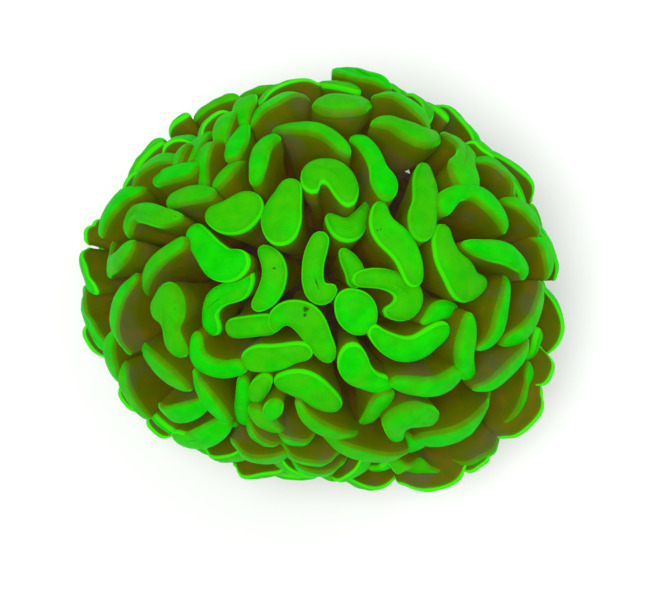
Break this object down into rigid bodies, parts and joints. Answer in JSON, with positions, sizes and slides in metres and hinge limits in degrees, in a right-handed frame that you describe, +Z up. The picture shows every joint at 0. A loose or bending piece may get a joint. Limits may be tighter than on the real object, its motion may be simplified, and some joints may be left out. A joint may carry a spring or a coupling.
{
  "type": "hammer coral",
  "caption": "Dome-shaped hammer coral colony: branching stony skeleton cut flat below, with fleshy polyps whose bright green tentacles end in hammer-shaped tips.",
  "frame": {"origin": "centre of the flat cut that the colony stands on", "axes": "+X along the long way of the dome, +Y towards its far side in the picture, +Z up out of the dome's top"},
  "size_m": [0.135, 0.1188, 0.103],
  "materials": {
    "stump_skeleton": "rough limestone, crusted with purple-pink coralline algae",
    "branch_skeleton": "rough ribbed limestone",
    "corallite_skeleton": "rough ribbed limestone with thin blades at the mouth",
    "polyp_flesh": "wet translucent flesh: vivid green tips on olive-brown stalks"
  },
  "bodies": {
    "root": {"trunk": "stump_skeleton", "branch_centre": "branch_skeleton", "branch_right": "branch_skeleton", "branch_back": "branch_skeleton", "branch_left": "branch_skeleton", "branch_front": "branch_skeleton", "corallite_top": "corallite_skeleton", "corallite_right_upper": "corallite_skeleton", "corallite_back_upper": "corallite_skeleton", "corallite_left_upper": "corallite_skeleton", "corallite_front_upper": "corallite_skeleton", "corallite_right_lower_1": "corallite_skeleton", "corallite_right_lower_2": "corallite_skeleton", "corallite_back_lower_1": "corallite_skeleton", "corallite_back_lower_2": "corallite_skeleton", "corallite_left_lower_1": "corallite_skeleton", "corallite_left_lower_2": "corallite_skeleton", "corallite_front_lower_1": "corallite_skeleton", "corallite_front_lower_2": "corallite_skeleton", "polyp_top": "polyp_flesh", "polyp_right_upper": "polyp_flesh", "polyp_back_upper": "polyp_flesh", "polyp_left_upper": "polyp_flesh", "polyp_front_upper": "polyp_flesh", "polyp_right_lower_1": "polyp_flesh", "polyp_right_lower_2": "polyp_flesh", "polyp_back_lower_1": "polyp_flesh", "polyp_back_lower_2": "polyp_flesh", "polyp_left_lower_1": "polyp_flesh", "polyp_left_lower_2": "polyp_flesh", "polyp_front_lower_1": "polyp_flesh", "polyp_front_lower_2": "polyp_flesh"}
  },
  "joints": []
}
